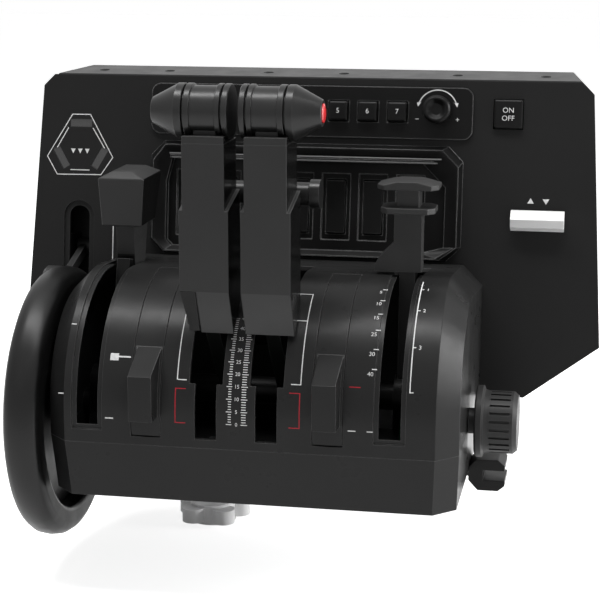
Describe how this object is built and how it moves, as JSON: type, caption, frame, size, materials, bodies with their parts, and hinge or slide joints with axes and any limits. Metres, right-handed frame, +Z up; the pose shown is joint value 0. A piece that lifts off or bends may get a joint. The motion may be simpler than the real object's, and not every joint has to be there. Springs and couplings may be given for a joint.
{
  "type": "flight throttle quadrant",
  "caption": "Desk-clamped throttle quadrant: swinging levers through a drum housing, trim wheel at the side, and a leaning switch panel behind.",
  "frame": {"origin": "centre of the underside of the rubber desk pad, where the unit sits on the desk", "axes": "+X to the user's right, +Y away from the user towards the switch panel, +Z up"},
  "size_m": [0.361, 0.2115, 0.2962],
  "materials": {
    "housing": "satin moulded",
    "panel": "fine grain",
    "lever": "satin",
    "grip": "satin gloss",
    "black": "matte",
    "red": "gloss",
    "pale": "satin",
    "grey": "satin",
    "steel": "brushed",
    "rubber": "matte",
    "board": "solder mask",
    "lens": "dark translucent lens"
  },
  "bodies": {
    "housing": {"base_tub": "housing", "upper_housing": "housing", "blanking_cover_left": "housing", "blanking_cover_right": "housing", "panel_face": "panel", "panel_rear": "panel", "switch_frame": "panel", "autopilot_plate": "panel", "gear_lamps": "lens", "lever_shaft": "steel", "shaft_bearings": "black", "friction_stack": "black", "panel_brackets": "black", "main_board": "board", "panel_board": "board", "clamp_bracket": "steel", "desk_pad": "rubber", "screws": "steel", "usb_socket": "steel", "cable_clip": "black"},
    "speedbrake": {"speedbrake_arm": "lever", "speedbrake_knob": "lever"},
    "throttle_left": {"throttle_arm_left": "lever", "throttle_blade_left": "black", "throttle_grip_left": "grip"},
    "throttle_right": {"throttle_arm_right": "lever", "throttle_blade_right": "black", "throttle_grip_right": "grip"},
    "grip_button_left": {"grip_button_left": "red"},
    "grip_button_right": {"grip_button_right": "red"},
    "reverser_left": {"reverser_left": "grip"},
    "reverser_right": {"reverser_right": "grip"},
    "flap_lever": {"flap_arm": "lever", "flap_handle": "lever"},
    "trim_wheel": {"trim_wheel_rim": "lever", "trim_wheel_hub": "black"},
    "tension_knob": {"tension_knob": "lever"},
    "gear_lever": {"gear_lever": "lever"},
    "flap_paddle": {"flap_paddle": "pale"},
    "encoder_dial": {"encoder_dial": "black"},
    "mode_selector": {"mode_selector": "black"},
    "large_key": {"large_key": "black"},
    "clamp_pad": {"clamp_pad": "rubber"},
    "clamp_screw": {"clamp_screw": "steel", "star_knob": "grey"},
    "rocker_1": {"rocker_1": "black"},
    "autopilot_key_1": {"autopilot_key_1": "black"},
    "rocker_2": {"rocker_2": "black"},
    "autopilot_key_2": {"autopilot_key_2": "black"},
    "rocker_3": {"rocker_3": "black"},
    "autopilot_key_3": {"autopilot_key_3": "black"},
    "rocker_4": {"rocker_4": "black"},
    "autopilot_key_4": {"autopilot_key_4": "black"},
    "rocker_5": {"rocker_5": "black"},
    "autopilot_key_5": {"autopilot_key_5": "black"},
    "rocker_6": {"rocker_6": "black"},
    "autopilot_key_6": {"autopilot_key_6": "black"},
    "rocker_7": {"rocker_7": "black"},
    "autopilot_key_7": {"autopilot_key_7": "black"}
  },
  "joints": [
    {"name": "speedbrake_swing", "type": "hinge", "parent": "housing", "child": "speedbrake", "pos_m": [-0.085, -0.075, 0.05], "axis": [1, 0, 0], "range_deg": [0, 75]},
    {"name": "throttle_left_swing", "type": "hinge", "parent": "housing", "child": "throttle_left", "pos_m": [-0.017, -0.075, 0.05], "axis": [1, 0, 0], "range_deg": [-28, 36]},
    {"name": "throttle_right_swing", "type": "hinge", "parent": "housing", "child": "throttle_right", "pos_m": [0.017, -0.075, 0.05], "axis": [1, 0, 0], "range_deg": [-28, 36]},
    {"name": "flap_swing", "type": "hinge", "parent": "housing", "child": "flap_lever", "pos_m": [0.085, -0.075, 0.05], "axis": [1, 0, 0], "range_deg": [0, 75]},
    {"name": "reverser_left_swing", "type": "hinge", "parent": "throttle_left", "child": "reverser_left", "pos_m": [-0.017, -0.105, 0.156], "axis": [1, 0, 0], "range_deg": [0, 35]},
    {"name": "reverser_right_swing", "type": "hinge", "parent": "throttle_right", "child": "reverser_right", "pos_m": [0.017, -0.105, 0.156], "axis": [1, 0, 0], "range_deg": [0, 35]},
    {"name": "grip_button_left_push", "type": "slide", "parent": "throttle_left", "child": "grip_button_left", "axis": [1, 0, 0], "range_m": [0, 0.0015], "stiffness_N_per_m": 400},
    {"name": "grip_button_right_push", "type": "slide", "parent": "throttle_right", "child": "grip_button_right", "axis": [-1, 0, 0], "range_m": [0, 0.0015], "stiffness_N_per_m": 400},
    {"name": "trim_wheel_turn", "type": "hinge", "parent": "housing", "child": "trim_wheel", "pos_m": [-0.123, -0.075, 0.038], "axis": [1, 0, 0], "continuous": true},
    {"name": "tension_turn", "type": "hinge", "parent": "housing", "child": "tension_knob", "pos_m": [0.13, -0.075, 0.038], "axis": [1, 0, 0], "range_deg": [-135, 135]},
    {"name": "gear_swing", "type": "hinge", "parent": "housing", "child": "gear_lever", "pos_m": [-0.1345, 0.02429, 0.11349], "axis": [1, 0, 0], "range_deg": [-50, 0]},
    {"name": "flap_paddle_tilt", "type": "hinge", "parent": "housing", "child": "flap_paddle", "pos_m": [0.1539, 0.01123, 0.14112], "axis": [1, 0, 0], "range_deg": [-9, 9], "stiffness_Nm_per_rad": 0.05},
    {"name": "encoder_turn", "type": "hinge", "parent": "housing", "child": "encoder_dial", "pos_m": [0.0916, 0.01203, 0.20733], "axis": [0, 0.989, -0.1478], "continuous": true},
    {"name": "mode_selector_turn", "type": "hinge", "parent": "housing", "child": "mode_selector", "pos_m": [-0.067, 0.01176, 0.20555], "axis": [0, 0.989, -0.1478], "range_deg": [0, 120]},
    {"name": "large_key_push", "type": "slide", "parent": "housing", "child": "large_key", "axis": [0, 0.989, -0.1478], "range_m": [0, 0.0012], "stiffness_N_per_m": 400},
    {"name": "rocker_1_tilt", "type": "hinge", "parent": "housing", "child": "rocker_1", "pos_m": [-0.0629, 0.01594, 0.14557], "axis": [1, 0, 0], "range_deg": [-7, 7]},
    {"name": "autopilot_key_1_push", "type": "slide", "parent": "housing", "child": "autopilot_key_1", "axis": [0, 0.989, -0.1478], "range_m": [0, 0.0012], "stiffness_N_per_m": 350},
    {"name": "rocker_2_tilt", "type": "hinge", "parent": "housing", "child": "rocker_2", "pos_m": [-0.0398, 0.01594, 0.14557], "axis": [1, 0, 0], "range_deg": [-7, 7]},
    {"name": "autopilot_key_2_push", "type": "slide", "parent": "housing", "child": "autopilot_key_2", "axis": [0, 0.989, -0.1478], "range_m": [0, 0.0012], "stiffness_N_per_m": 350},
    {"name": "rocker_3_tilt", "type": "hinge", "parent": "housing", "child": "rocker_3", "pos_m": [-0.0167, 0.01594, 0.14557], "axis": [1, 0, 0], "range_deg": [-7, 7]},
    {"name": "autopilot_key_3_push", "type": "slide", "parent": "housing", "child": "autopilot_key_3", "axis": [0, 0.989, -0.1478], "range_m": [0, 0.0012], "stiffness_N_per_m": 350},
    {"name": "rocker_4_tilt", "type": "hinge", "parent": "housing", "child": "rocker_4", "pos_m": [0.0064, 0.01594, 0.14557], "axis": [1, 0, 0], "range_deg": [-7, 7]},
    {"name": "autopilot_key_4_push", "type": "slide", "parent": "housing", "child": "autopilot_key_4", "axis": [0, 0.989, -0.1478], "range_m": [0, 0.0012], "stiffness_N_per_m": 350},
    {"name": "rocker_5_tilt", "type": "hinge", "parent": "housing", "child": "rocker_5", "pos_m": [0.0295, 0.01594, 0.14557], "axis": [1, 0, 0], "range_deg": [-7, 7]},
    {"name": "autopilot_key_5_push", "type": "slide", "parent": "housing", "child": "autopilot_key_5", "axis": [0, 0.989, -0.1478], "range_m": [0, 0.0012], "stiffness_N_per_m": 350},
    {"name": "rocker_6_tilt", "type": "hinge", "parent": "housing", "child": "rocker_6", "pos_m": [0.0526, 0.01594, 0.14557], "axis": [1, 0, 0], "range_deg": [-7, 7]},
    {"name": "autopilot_key_6_push", "type": "slide", "parent": "housing", "child": "autopilot_key_6", "axis": [0, 0.989, -0.1478], "range_m": [0, 0.0012], "stiffness_N_per_m": 350},
    {"name": "rocker_7_tilt", "type": "hinge", "parent": "housing", "child": "rocker_7", "pos_m": [0.0757, 0.01594, 0.14557], "axis": [1, 0, 0], "range_deg": [-7, 7]},
    {"name": "autopilot_key_7_push", "type": "slide", "parent": "housing", "child": "autopilot_key_7", "axis": [0, 0.989, -0.1478], "range_m": [0, 0.0012], "stiffness_N_per_m": 350},
    {"name": "clamp_lift", "type": "slide", "parent": "housing", "child": "clamp_pad", "axis": [0, 0, 1], "range_m": [0, 0.015]},
    {"name": "clamp_screw_turn", "type": "hinge", "parent": "clamp_pad", "child": "clamp_screw", "pos_m": [-0.05, 0.007, -0.05], "axis": [0, 0, 1], "range_deg": [0, 3600]}
  ],
  "couplings": [
    {"joint": "clamp_screw_turn", "follows": "clamp_lift", "rad_per_m": 4188.8}
  ]
}
